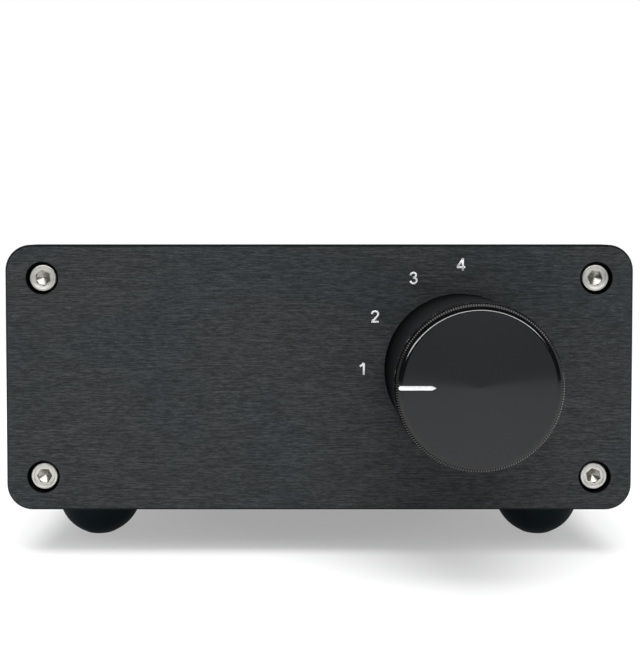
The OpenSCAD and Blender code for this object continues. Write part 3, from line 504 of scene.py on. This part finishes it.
FINISHES = {
    "panel_black": brushed_panel(),
    "sleeve_black": drawn_sleeve(),
    "knob_black": turned_side(),
    "knob_edge": polished_edge(),
    "knob_face": spun_face(),
    "nickel": metal("screw_nickel", (0.5, 0.489, 0.458), (0.565, 0.552, 0.518), 0.3,
                    height=0.0006, spread=0.1, Metallic=0.6),
    # Darker nickel for the screw sockets: painted shade in the recess
    "nickel_painted_shade": metal("screw_nickel_painted_shade", (0.29, 0.275, 0.25), (0.35, 0.333, 0.305), 0.24,
                           height=0.0002, Metallic=0.8),
    "black_screw": metal("screw_black_oxide", (0.012, 0.013, 0.014), (0.03, 0.032, 0.033), 0.4),
    "rubber": moulded("foot_rubber", (0.0048, 0.0086, 0.0112), (0.0084, 0.0138, 0.0178), 0.62,
                      height=0.012, Specular_IOR_Level=0.05),
    "pad_foam": foam(),
    "pointer_silver": metal("pointer_silver_bright", (0.8, 0.805, 0.8), (0.96, 0.965, 0.955), 0.4,
                            scale=(1500, 1500, 1500), Metallic=0.2),
    "steel": metal("steel_plain", (0.36, 0.37, 0.38), (0.56, 0.57, 0.58), 0.34),
    "bushing_brass": metal("brass_plated", (0.42, 0.36, 0.22), (0.62, 0.54, 0.34), 0.3),
    "switch_plastic": moulded("switch_black", (0.009, 0.009, 0.01), (0.016, 0.016, 0.018), 0.5),
    "nylon": moulded("nylon_cream", (0.56, 0.52, 0.42), (0.72, 0.68, 0.57), 0.45, Subsurface_Weight=0.1,
                     Subsurface_Scale=0.001),
    "contact_brass": metal("brass_contact", (0.5, 0.33, 0.09), (0.72, 0.5, 0.17), 0.28),
    "phenolic": paper_board("phenolic_brown", (0.15, 0.065, 0.02), (0.26, 0.12, 0.04)),
    "tinned": metal("tin_plate", (0.46, 0.46, 0.43), (0.68, 0.68, 0.64), 0.36),
    "board_green": circuit_board(),
    "ribbon_grey": flat_ribbon(),
    "connector_black": moulded("connector_black_plain", (0.009, 0.009, 0.01), (0.015, 0.015, 0.016), 0.42),
    "gold": metal("jack_gold", (0.66, 0.535, 0.25), (0.78, 0.655, 0.345), 0.16, scale=(350, 350, 350),
                  height=0.0005, spread=0.12),
    # Bronze darkened far below the other brass: painted shade for the contacts deep in the pin holes
    "contact_painted_shade": metal("contact_bronze_painted_shade", (0.1, 0.07, 0.046), (0.19, 0.135, 0.09), 0.3),
    "jack_red": moulded("insulator_red", (0.27, 0.008, 0.01), (0.36, 0.012, 0.014), 0.34, height=0.006,
                        Specular_IOR_Level=0.3),
    "jack_black": moulded("insulator_black", (0.007, 0.0071, 0.0072), (0.012, 0.0121, 0.0122), 0.4,
                          height=0.006, Specular_IOR_Level=0.15),
    "legend": moulded("legend_print", (0.66, 0.67, 0.68), (0.8, 0.81, 0.82), 0.55),
}

# Finish of each node whose own solid is shown
NODE_FINISH = {
    "body_sleeve": "sleeve_black", "front_panel": "panel_black", "rear_panel": "panel_black",
    "foot_pads": "pad_foam", "knob_pointer": "pointer_silver", "knob_set_screw": "black_screw",
    "switch_shaft": "steel", "shaft_clip": "steel", "switch_bushing": "bushing_brass",
    "switch_nut": "nickel", "switch_washer": "nickel", "index_plate": "steel",
    "index_housing": "switch_plastic", "index_cam": "nylon", "detent_ball": "steel",
    "rotor": "nylon", "wiper_contacts": "contact_brass",
    "contact_wafer": "phenolic", "contact_pins": "tinned", "switch_tie_screws": "steel",
    "switch_board": "board_green", "rear_board": "board_green", "ribbon_cable": "ribbon_grey",
    "ribbon_plugs": "connector_black", "board_headers": "connector_black",
    "centre_contacts": "contact_painted_shade", "inner_washers": "connector_black", "ground_lugs": "tinned",
    "jack_nuts": "gold",
}
for name, finish in NODE_FINISH.items():
    for place in nodes[name].material_slots:
        place.material = FINISHES[finish]


# Knob with its round, ticked edge and spun face

def make_knob():
    """Hollow knob with a rounded, ticked edge, the hole of its set screw and the slot of its pointer."""
    high = (knob_high.y - knob_low.y) / MM
    radius = (knob_high.x - knob_low.x) / 2 / MM
    edge = 1.5
    band = 3.2
    teeth = 204
    bore, bore_end = 3.05, high - 3.5
    hollow, hollow_end = 8.5, 6.2
    set_screw_bore, set_screw_y = 1.52, -53.1
    arc = [(radius - edge + edge * math.sin(math.radians(a)), high - edge + edge * math.cos(math.radians(a)))
           for a in (90, 84, 78, 66, 54, 48, 42, 34, 29, 25, 21, 17, 13, 10, 8, 6, 4, 2, 0)]
    knob = turn_on_lathe("knob_turned", 4 * teeth, [
        (0, bore_end), (bore, bore_end), (bore, hollow_end), (hollow, hollow_end), (hollow, 0.15), (8.65, 0),
        (radius - 0.28, 0), (radius - 0.08, 0.08), (radius, 0.3), (radius, high - band),
        (radius, high - band + 0.2), *arc, (12.7, high), (10.5, high), (6.2, high), (3, high), (0, high)])
    take(knob)
    bpy.ops.object.mode_set(mode="EDIT")

    gaps_from = radius - edge * 0.34
    gap_depth = 0.977

    def in_gap(place):
        out = math.hypot(place.x, place.y)
        step = round(math.atan2(place.y, place.x) / math.pi * teeth * 2)
        return out > gaps_from and place.z > high - band + 0.1 and step % 4 == 1

    pick(knob, in_gap)
    bpy.ops.transform.resize(value=(gap_depth, gap_depth, 1), center_override=(0, 0, 0))
    put_down()
    bpy.ops.mesh.primitive_cylinder_add(vertices=48, radius=set_screw_bore * MM, depth=14 * MM,
                                        location=(10 * MM, 0, knob_high.y - set_screw_y * MM),
                                        rotation=(0, math.radians(90), 0))
    carve(knob, bpy.context.object)
    off_the_slot = 0.11
    stand(knob, (knob_x, knob_high.y, knob_z), TOWARDS_FRONT, off_the_slot)
    slot = copy_of(nodes["knob_pointer"], "pointer_slot")
    take(clean(slot))
    bpy.ops.mesh.customdata_custom_splitnormals_clear()
    bpy.ops.object.mode_set(mode="EDIT")
    pick(slot, lambda place: place.y < knob_low.y / MM + 0.3)
    bpy.ops.transform.translate(value=(0, -1 * MM, 0))
    bpy.ops.mesh.select_all(action="SELECT")
    slot_room = (1.02, 1, 1.16)
    low, high_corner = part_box("knob_pointer")
    bpy.ops.transform.resize(value=slot_room, center_override=(low + high_corner) / 2)
    put_down()
    carve(knob, slot)
    smooth(knob, 28)
    mount(knob, "selector", "knob_black", FINISHES["knob_black"], "knob")

    def out_to(middle):
        return math.hypot(middle.x - knob_x / MM, middle.z - knob_z / MM)

    def on_edge(middle, _):
        return out_to(middle) > radius - edge and middle.y < knob_low.y / MM + band

    def on_face(middle, normal):
        return normal.y < -0.99 and out_to(middle) < radius - edge and middle.y < knob_low.y / MM + 0.2

    refinish(knob, FINISHES["knob_edge"], on_edge)
    refinish(knob, FINISHES["knob_face"], on_face)
    return knob


knob = make_knob()


# Phono jacks

def make_jack_shell():
    """Gold shell about +Z, from the face of the panel outwards."""
    body = turn_on_lathe("jack_shell", 160, [
        (2.92, -9), (3.85, -9), (4, -8.8), (4, 3.6), (4.86, 3.6), (5, 3.74), (5, 5.2), (4.97, 5.34),
        (4.88, 5.45), (4.76, 5.5), (4.52, 5.5), (4.44, 5.54), (4.4, 5.62), (4.4, 6.1), (4.37, 6.2),
        (4.28, 6.28), (3.92, 6.4), (3.74, 6.6), (3.66, 6.95), (3.64, 7.4), (3.64, 8.2), (3.68, 8.42),
        (3.79, 8.54), (3.88, 8.58), (3.95, 8.66), (3.97, 8.78), (3.97, 13.27), (3.955, 13.32),
        (3.81, 13.47), (3.75, 13.5), (2.94, 13.5), (2.89, 13.48), (2.74, 13.33), (2.7, 13.25), (2.7, 3),
        (2.92, 2.8), (2.92, -9)])
    half_flats = 5.9
    put_down()
    bpy.ops.mesh.primitive_cylinder_add(vertices=6, radius=half_flats / math.cos(math.radians(30)) * MM,
                                        depth=2.4 * MM, location=(0, 0, 2.8 * MM))
    hexagon = bpy.context.object
    soften(hexagon, 0.12, 2)
    blank = turn_on_lathe("hex_blank", 96, [
        (0, 1.5), (9, 1.5), (9, 2.11), (5.85, 3.93), (5.72, 3.985), (5.55, 4), (0, 4)])
    carve(hexagon, blank, "INTERSECT")
    bore = turn_on_lathe("hex_bore", 96, [(0, 1), (3.9, 1), (3.9, 5), (0, 5)])
    carve(hexagon, bore)
    shell = join("jack_shell", [body, hexagon])
    return smooth(shell, 30)


def make_core():
    """Insulator of a jack: a ring with a bevelled mouth."""
    core = turn_on_lathe("jack_core", 64, [
        (2.32, -9.5), (2.68, -9.5), (2.68, 13.14), (2.65, 13.2), (2.58, 13.23), (2.3, 13.23), (2.18, 13.18),
        (1.94, 12.8), (1.84, 12.5), (1.8, 12.2), (1.8, 4), (2.32, 4), (2.32, -9.5)])
    return smooth(core, 30)


def make_washer():
    """Shouldered washer with a rounded rim and small moulded nicks."""
    washer = turn_on_lathe("jack_washer", 144, [
        (4.1, -1.4), (4.8, -1.4), (4.8, 0), (8.12, 0), (8.2, 0.08), (8.2, 1.05), (8.16, 1.24), (8.04, 1.4),
        (7.86, 1.52), (7.62, 1.585), (7.4, 1.6), (6.95, 1.6), (6.88, 1.585), (6.8, 1.5), (4.1, 1.5),
        (4.1, -1.4)])
    nicks_at = 7.7
    for turn in (14, 68, 133, 196, 251, 317):
        put_down()
        angle = math.radians(turn)
        place = (nicks_at * math.cos(angle) * MM, nicks_at * math.sin(angle) * MM, 1.62 * MM)
        bpy.ops.mesh.primitive_cube_add(size=1, location=place, rotation=(0, 0, angle))
        nick = bpy.context.object
        nick.scale = (1.6 * MM, 0.28 * MM, 0.3 * MM)
        bpy.ops.object.transform_apply(location=True, rotation=True, scale=True)
        carve(washer, nick)
    return smooth(washer, 30)


def fit_jacks():
    """Ten shells, and the cores and washers of each row as one piece."""
    shell = make_jack_shell()
    core = make_core()
    washer = make_washer()
    for row, colour in zip(ROWS, ("red", "black")):
        cores = []
        washers = []
        for column, turn in zip(COLUMNS, HEX_TURNS[row]):
            node = f"jack_{column}_{row}"
            low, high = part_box(node)
            place = ((low.x + high.x) / 2, rear_y, (low.z + high.z) / 2)
            made = stand(copy_of(shell, f"shell_{column}_{row}"), place, TOWARDS_BACK, turn - 30)
            mount(made, "case", "gold", FINISHES["gold"], node)
            cores.append(stand(copy_of(core, f"core_{column}_{row}"), place, TOWARDS_BACK))
            washers.append(stand(copy_of(washer, f"washer_{column}_{row}"), place, TOWARDS_BACK, turn * 3))
        mount(join(f"cores_{colour}", cores), "case", f"jack_{colour}", FINISHES[f"jack_{colour}"],
              f"jack_cores_{colour}")
        mount(join(f"washers_{colour}", washers), "case", f"jack_{colour}", FINISHES[f"jack_{colour}"],
              f"outer_washers_{colour}")
    for master in (shell, core, washer):
        bpy.data.objects.remove(master)


fit_jacks()


# Panel screws

HEAD_ACROSS = {"front_screws": 5.5, "rear_screws": 5.4}


def screw_places(node):
    """X and Z of four screws, from the corners of their node's box."""
    low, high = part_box(node)
    radius = HEAD_ACROSS[node] / 2 * MM
    for z in (high.z - radius, low.z + radius):
        for x in (low.x + radius, high.x - radius):
            yield x, z


def make_cap_screw():
    """Socket head about +Z, its rim at 0, with a shallow dish round a drilled hexagon."""
    screw = turn_on_lathe("cap_screw", 96, [
        (0, -15), (1.2, -15), (1.5, -14.7), (1.5, -3), (2.53, -3), (2.58, -2.95), (2.58, -0.3),
        (2.555, -0.13), (2.49, -0.04), (2.39, 0), (2.12, 0), (2.06, -0.03), (1.92, -0.24), (1.87, -0.26),
        (0, -0.26)])
    half_flats, socket_depth = 1.33, 0.71
    put_down()
    bpy.ops.mesh.primitive_cylinder_add(vertices=6, radius=half_flats / math.cos(math.radians(30)) * MM,
                                        depth=2 * socket_depth * MM, rotation=(0, 0, math.radians(30)))
    carve(screw, bpy.context.object)
    drilled = turn_on_lathe("socket_point", 48, [
        (0, -0.6), (1.38, -0.6), (1.38, -0.7), (0.12, -1.487), (0, -1.487)])
    carve(screw, drilled)
    return smooth(screw, 30)


def make_cross_screw():
    """Countersunk head about +Z with a flared cross recess, its top at 0."""
    screw = turn_on_lathe("cross_screw", 96, [
        (0, -11), (1.2, -11), (1.5, -10.7), (1.5, -1.45), (2.68, -0.27), (2.7, -0.22), (2.7, -0.1),
        (2.66, -0.03), (2.56, 0), (0, 0)])
    arm_size = (3.9 * MM, 1.05 * MM, 1.1 * MM)
    flare = (0.5, 0.62, 1)
    for turn in (0, 90):
        put_down()
        bpy.ops.mesh.primitive_cube_add(size=1, location=(0, 0, -0.35 * MM))
        arm = bpy.context.object
        arm.scale = arm_size
        bpy.ops.object.transform_apply(location=True, rotation=True, scale=True)
        bpy.ops.object.mode_set(mode="EDIT")
        pick(arm, lambda place: place.z < 0)
        bpy.ops.transform.resize(value=flare, center_override=(0, 0, 0))
        put_down()
        arm.rotation_euler = (0, 0, math.radians(turn))
        take(arm)
        bpy.ops.object.transform_apply(location=True, rotation=True, scale=True)
        carve(screw, arm)
    web = turn_on_lathe("cross_web", 8, [(0, -0.95), (0.35, -0.95), (0.95, 0.2), (0, 0.2)])
    carve(screw, web)
    return smooth(screw, 30)


def fit_screws():
    """Four cap screws in front and four countersunk ones behind; gives back the cap screws."""
    cap = make_cap_screw()
    tops = []
    y_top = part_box("front_screws")[0].y
    places = list(screw_places("front_screws"))
    for (x, z), turn in zip(places, SOCKET_TURNS):
        tops.append(stand(copy_of(cap, "cap_copy"), (x, y_top, z), TOWARDS_FRONT, turn))
    caps = mount(join("cap_screws", tops), "case", "nickel", FINISHES["nickel"], "front_screws")

    socket_reach, socket_from, socket_to = 1.68, 0.28, 2.2

    def in_socket(middle, _):
        near = min(math.hypot(middle.x - x / MM, middle.z - z / MM) for x, z in places)
        return near < socket_reach and socket_from < middle.y - y_top / MM < socket_to

    # The socket faces get the darker nickel: painted shade in the recess
    refinish(caps, FINISHES["nickel_painted_shade"], in_socket)
    cross = make_cross_screw()
    flats = []
    y_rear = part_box("rear_screws")[1].y
    for (x, z), turn in zip(screw_places("rear_screws"), CROSS_TURNS):
        flats.append(stand(copy_of(cross, "cross_copy"), (x, y_rear, z), TOWARDS_BACK, turn))
    mount(join("cross_screws", flats), "case", "black_screw", FINISHES["black_screw"], "rear_screws")
    for master in (cap, cross):
        bpy.data.objects.remove(master)
    return caps


cap_screws = fit_screws()


# Detent spring

def wind_spring():
    """Coil of steel wire wound in the place of the detent spring, whose node it hides."""
    low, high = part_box("detent_spring")
    middle = (low + high) / 2
    wire, sides, turns = 0.2 * MM, 12, 5
    put_down()
    bpy.ops.mesh.primitive_circle_add(vertices=sides, radius=wire, rotation=(math.radians(90), 0, 0),
                                      location=((high.x - low.x) / 2 - wire, 0, 0))
    spring = bpy.context.object
    spring.name = "spring_wound"
    bpy.ops.object.transform_apply(location=True, rotation=True, scale=True)
    finish_with(spring, "SCREW", angle=math.tau, steps=32, render_steps=32, iterations=turns,
                screw_offset=(high.z - low.z - 2 * wire) / turns)
    take(spring)
    bpy.ops.object.mode_set(mode="EDIT")
    bpy.ops.mesh.select_all(action="SELECT")
    bpy.ops.mesh.fill_holes(sides=sides)
    put_down()
    smooth(stand(clean(spring), (middle.x, middle.y, low.z + wire)), 50)
    spring.data.materials.append(FINISHES["steel"])
    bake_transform(spring)
    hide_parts("detent_spring")


wind_spring()


# Rubber feet

def fit_feet():
    dome, centre = 8.6, 8.22
    arc = [(dome * math.sin(math.radians(a)), centre - dome * math.cos(math.radians(a)))
           for a in range(27, 91, 3)]
    foot = turn_on_lathe("foot", 96, [
        (0, 0), (2.5, 0), (2.9, 0.04), (3.2, 0.16), *arc, (dome, 9.4), (8.5, 9.68), (8.25, 9.8), (0, 9.8)])
    smooth(foot, 35)
    for node in ("foot_front_left", "foot_front_right", "foot_rear_left", "foot_rear_right"):
        low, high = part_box(node)
        place = ((low.x + high.x) / 2, (low.y + high.y) / 2, low.z)
        made = stand(copy_of(foot, node.replace("foot", "dome")), place)
        mount(made, "case", "rubber", FINISHES["rubber"], node)
    bpy.data.objects.remove(foot)


fit_feet()


# Printed digits and lines

# Strokes of each letter, across and up in shares of its height
STROKES = {
    "1": [[(0.05, 0.71), (0.24, 0.83), (0.38, 0.99)], [(0.38, 1), (0.38, 0)]],
    "2": [[(0.06, 0.72), (0.1, 0.87), (0.21, 0.96), (0.35, 0.99), (0.52, 0.95), (0.62, 0.84), (0.63, 0.7),
           (0.56, 0.55), (0.4, 0.37), (0.2, 0.19), (0.08, 0.06)], [(0.02, 0.04), (0.68, 0.04)]],
    "3": [[(0.05, 0.75), (0.11, 0.89), (0.22, 0.97), (0.35, 0.99), (0.5, 0.94), (0.57, 0.82), (0.55, 0.67),
           (0.45, 0.57), (0.28, 0.54)], [(0.28, 0.54), (0.47, 0.51), (0.61, 0.4), (0.64, 0.24), (0.56, 0.09),
           (0.41, 0.01), (0.26, 0.01), (0.12, 0.09), (0.04, 0.24)]],
    "4": [[(0.5, 0), (0.5, 1)], [(0.53, 0.99), (0.05, 0.3)], [(0, 0.27), (0.7, 0.27)]],
    "I": [[(0.1, 0), (0.1, 1)]],
    "N": [[(0.09, 0), (0.09, 1)], [(0.09, 0.97), (0.69, 0.03)], [(0.69, 0), (0.69, 1)]],
    "T": [[(0.36, 0), (0.36, 1)], [(0, 0.95), (0.72, 0.95)]],
    "U": [[(0.08, 1), (0.08, 0.34), (0.13, 0.15), (0.26, 0.03), (0.38, 0.01), (0.5, 0.03), (0.63, 0.15),
           (0.68, 0.34), (0.68, 1)]],
    "O": [[(0.42 + 0.36 * math.cos(t * math.pi / 12), 0.5 + 0.48 * math.sin(t * math.pi / 12))
           for t in range(25)]],
}
# Step to the next letter where it isn't 0.8, radius of the pen, and thickness of the print in millimetres
ADVANCE = {"I": 0.34, "N": 0.9, "O": 0.96, "U": 0.9}
PEN = 0.088
INK = 0.03


def word(text, height, x, y, z, behind=False):
    """Flat word of a cap height in millimetres, drawn in strokes, read from the front or from behind."""
    put_down()
    bpy.ops.curve.primitive_nurbs_path_add()
    made = bpy.context.object
    drawn = made.data
    drawn.splines.clear()
    start = 0
    for letter in text:
        for stroke in STROKES[letter]:
            path = drawn.splines.new("POLY")
            path.points.add(len(stroke) - 1)
            for point, (across, up) in zip(path.points, stroke):
                point.co = (start + across, up, 0, 1)
        start += ADVANCE.get(letter, 0.8)
    drawn.bevel_depth = PEN
    drawn.bevel_resolution = 1
    drawn.use_fill_caps = True
    bpy.ops.object.convert(target="MESH")
    clean(made)
    take(made)
    bpy.ops.object.origin_set(type="ORIGIN_GEOMETRY", center="BOUNDS")
    grow = height * MM / made.dimensions.y
    made.scale = (grow, grow, INK * MM / made.dimensions.z)
    made.rotation_euler = (math.radians(90), 0, math.radians(180 if behind else 0))
    made.location = (x * MM, y, z * MM)
    bpy.ops.object.transform_apply(location=True, rotation=True, scale=True)
    return made


def line(x0, z0, x1, z1, thick=0.27):
    """Printed line on the rear panel."""
    put_down()
    bpy.ops.mesh.primitive_cube_add(size=1, location=((x0 + x1) / 2 * MM, rear_y, (z0 + z1) / 2 * MM))
    made = bpy.context.object
    made.scale = ((abs(x1 - x0) + thick) * MM, 0.02 * MM, (abs(z1 - z0) + thick) * MM)
    bpy.ops.object.transform_apply(location=True, rotation=True, scale=True)
    return made


def print_legends():
    front_cap, rear_cap, word_cap = 2.45, 2.65, 2.05
    front = [word(text, front_cap, x, front_y, z) for text, x, z in
             (("1", 8.4, 36.8), ("2", 10.9, 47.0), ("3", 18.4, 54.5), ("4", 27.6, 57.2))]
    mount(join("front_digits", front), "case", "pointer_silver", FINISHES["legend"])
    rear = [word(text, cap, x, rear_y, z, True) for text, cap, x, z in
            (("OUT", word_cap, 36.0, 35.56), ("IN", word_cap, 22.0, 35.56), ("1", rear_cap, 11.1, 14.8),
             ("2", rear_cap, -6.6, 14.8), ("3", rear_cap, -24.7, 14.6), ("4", rear_cap, -42.9, 14.5))]
    for corner_x, corner_z, end_x, end_z in (
            (35.5, 45.74, 38.7, 38.2), (35.6, 25.16, 38.3, 32.7),
            (22.04, 45.74, 19.8, 38.2), (22.04, 25.16, 19.4, 32.7)):
        across = line(corner_x, corner_z, end_x, corner_z)
        rear.append(carve(across, line(corner_x, corner_z, corner_x, end_z), "UNION"))
    mount(join("rear_legend", rear), "case", "pointer_silver", FINISHES["legend"])


print_legends()


# Floor, light and camera

def background_share(tree):
    """1 for camera, glossy and transmission rays."""
    path = tree.nodes.new("ShaderNodeLightPath")
    total = path.outputs["Is Camera Ray"]
    for ray in ("Is Glossy Ray", "Is Transmission Ray"):
        both = tree.nodes.new("ShaderNodeMath")
        both.operation = "MAXIMUM"
        tree.links.new(total, both.inputs[0])
        tree.links.new(path.outputs[ray], both.inputs[1])
        total = both.outputs[0]
    return total


def lay_floor():
    """Pale floor that turns to plain white away from the object."""
    put_down()
    bpy.ops.mesh.primitive_plane_add(size=6)
    floor = bpy.context.object
    floor.name = "floor"
    made = Finish("floor_white", (0.9, 0.9, 0.9), 0.8, Specular_IOR_Level=0.0)
    tree = made.tree
    glow = made.node("Emission")
    mixed = made.node("MixShader")
    far = made.node("TexGradient", gradient_type="SPHERICAL")
    fade, least_white = 2.2, 0.35
    made.link(made.coords((fade, fade, fade)), far.inputs["Vector"])
    white = made.spread(far.outputs["Fac"], 0.2, 0.95, 1.0, least_white)
    share = made.node("Math", operation="MULTIPLY")
    made.link(white, share.inputs[0])
    made.link(background_share(tree), share.inputs[1])
    made.link(share.outputs[0], mixed.inputs["Fac"])
    made.link(made.shader.outputs["BSDF"], mixed.inputs[1])
    made.link(glow.outputs["Emission"], mixed.inputs[2])
    made.link(mixed.outputs["Shader"], tree.nodes["Material Output"].inputs["Surface"])
    floor.data.materials.append(made.material)


def light_world():
    """Soft light all round, plain white where it is seen or mirrored."""
    world = bpy.data.worlds.new("studio")
    bpy.context.scene.world = world
    world.use_nodes = True
    tree = world.node_tree
    soft = tree.nodes["Background"]
    soft.inputs["Color"].default_value = (0.95, 0.97, 1.0, 1)
    soft.inputs["Strength"].default_value = 0.5
    seen = tree.nodes.new("ShaderNodeBackground")
    seen.inputs["Color"].default_value = (1, 1, 1, 1)
    mixed = tree.nodes.new("ShaderNodeMixShader")
    tree.links.new(background_share(tree), mixed.inputs["Fac"])
    tree.links.new(soft.outputs["Background"], mixed.inputs[1])
    tree.links.new(seen.outputs["Background"], mixed.inputs[2])
    tree.links.new(mixed.outputs["Shader"], tree.nodes["World Output"].inputs["Surface"])


def hang_lamp(name, place, aim, size, watts, mirrored):
    """Soft lamp; mirrored says whether it shows in glossy surfaces."""
    put_down()
    bpy.ops.object.light_add(type="AREA", location=place)
    lamp = bpy.context.object
    lamp.name = name
    lamp.data.shape = "RECTANGLE"
    lamp.data.size, lamp.data.size_y = size
    lamp.data.energy = watts
    lamp.rotation_euler = (aim - lamp.location).to_track_quat("-Z", "Y").to_euler()
    lamp.visible_glossy = mirrored


def stand_card(name, place, size, strength, tilt, piece=None):
    """Card that only glossy surfaces see: dark studio, or a sheet of light in it for one piece."""
    put_down()
    bpy.ops.mesh.primitive_plane_add(size=1, location=place, rotation=(math.radians(tilt), 0, 0))
    card = bpy.context.object
    card.name = name
    card.scale = (size[0], size[1], 1)
    bpy.ops.object.transform_apply(location=True, rotation=True, scale=True)
    made = Finish(f"{name}_tone", (0, 0, 0), 1)
    glow = made.node("Emission")
    glow.inputs["Strength"].default_value = strength
    made.link(glow.outputs["Emission"], made.tree.nodes["Material Output"].inputs["Surface"])
    card.data.materials.append(made.material)
    card.visible_camera = False
    card.visible_diffuse = False
    card.visible_transmission = False
    card.visible_shadow = False
    if piece:
        card.light_linking.receiver_collection = bpy.data.collections.new(f"{name}_lights")
        card.light_linking.receiver_collection.objects.link(piece)


def set_camera():
    """The photograph's viewpoint, straight at the front panel."""
    put_down()
    bpy.ops.object.camera_add(location=(-0.0023, -0.2614, 0.0646),
                              rotation=(math.radians(88), 0, 0))
    camera = bpy.context.object
    camera.data.lens = 62.2
    camera.data.sensor_width = 36
    camera.data.shift_x = 0.019
    camera.data.shift_y = -0.1
    camera.data.clip_start = 0.01
    bpy.context.scene.camera = camera


UPRIGHT, LEVEL = 90, 0
# Lamps: place and size in metres, watts, and whether glossy surfaces mirror them
LAMPS = {
    "lamp_above": ((0.0, -0.1, 0.75), (0.8, 0.7), 7, True),
    "lamp_front": ((0.12, -0.45, 0.6), (0.5, 0.5), 2.2, False),
    "lamp_rear": ((-0.12, 0.45, 0.6), (0.5, 0.5), 3.2, False),
}
# Cards: place and size in metres, strength, tilt in degrees, and the only piece that a sheet lights
CARDS = {
    "card_front": ((0, -0.33, 0.324), (1.46, 0.64), 0.03, UPRIGHT),
    "card_rear": ((0, 0.33, 0.348), (1.46, 0.64), 0.03, UPRIGHT),
    "sheet_rear": ((0, 0.325, 0.178), (0.36, 0.3), 0.45, UPRIGHT),
    "card_rear_top": ((0, 0.2, 0.5), (1.46, 0.26), 0.14, LEVEL),
    "sheet_low": ((knob_x, -0.32, 0.094), (0.3, 0.036), 18, UPRIGHT, knob),
    "sheet_high": ((knob_x, -0.05, 0.6), (2.6, 0.5), 3.6, LEVEL, knob),
    "sheet_screws": ((0, -0.31, 0.385), (0.6, 0.45), 4.5, UPRIGHT, cap_screws),
}

lay_floor()
light_world()
for name, (place, *settings) in LAMPS.items():
    hang_lamp(name, place, (cad_low + cad_high) / 2, *settings)
for name, settings in CARDS.items():
    stand_card(name, *settings)
set_camera()
bpy.context.scene.view_settings.view_transform = "Standard"
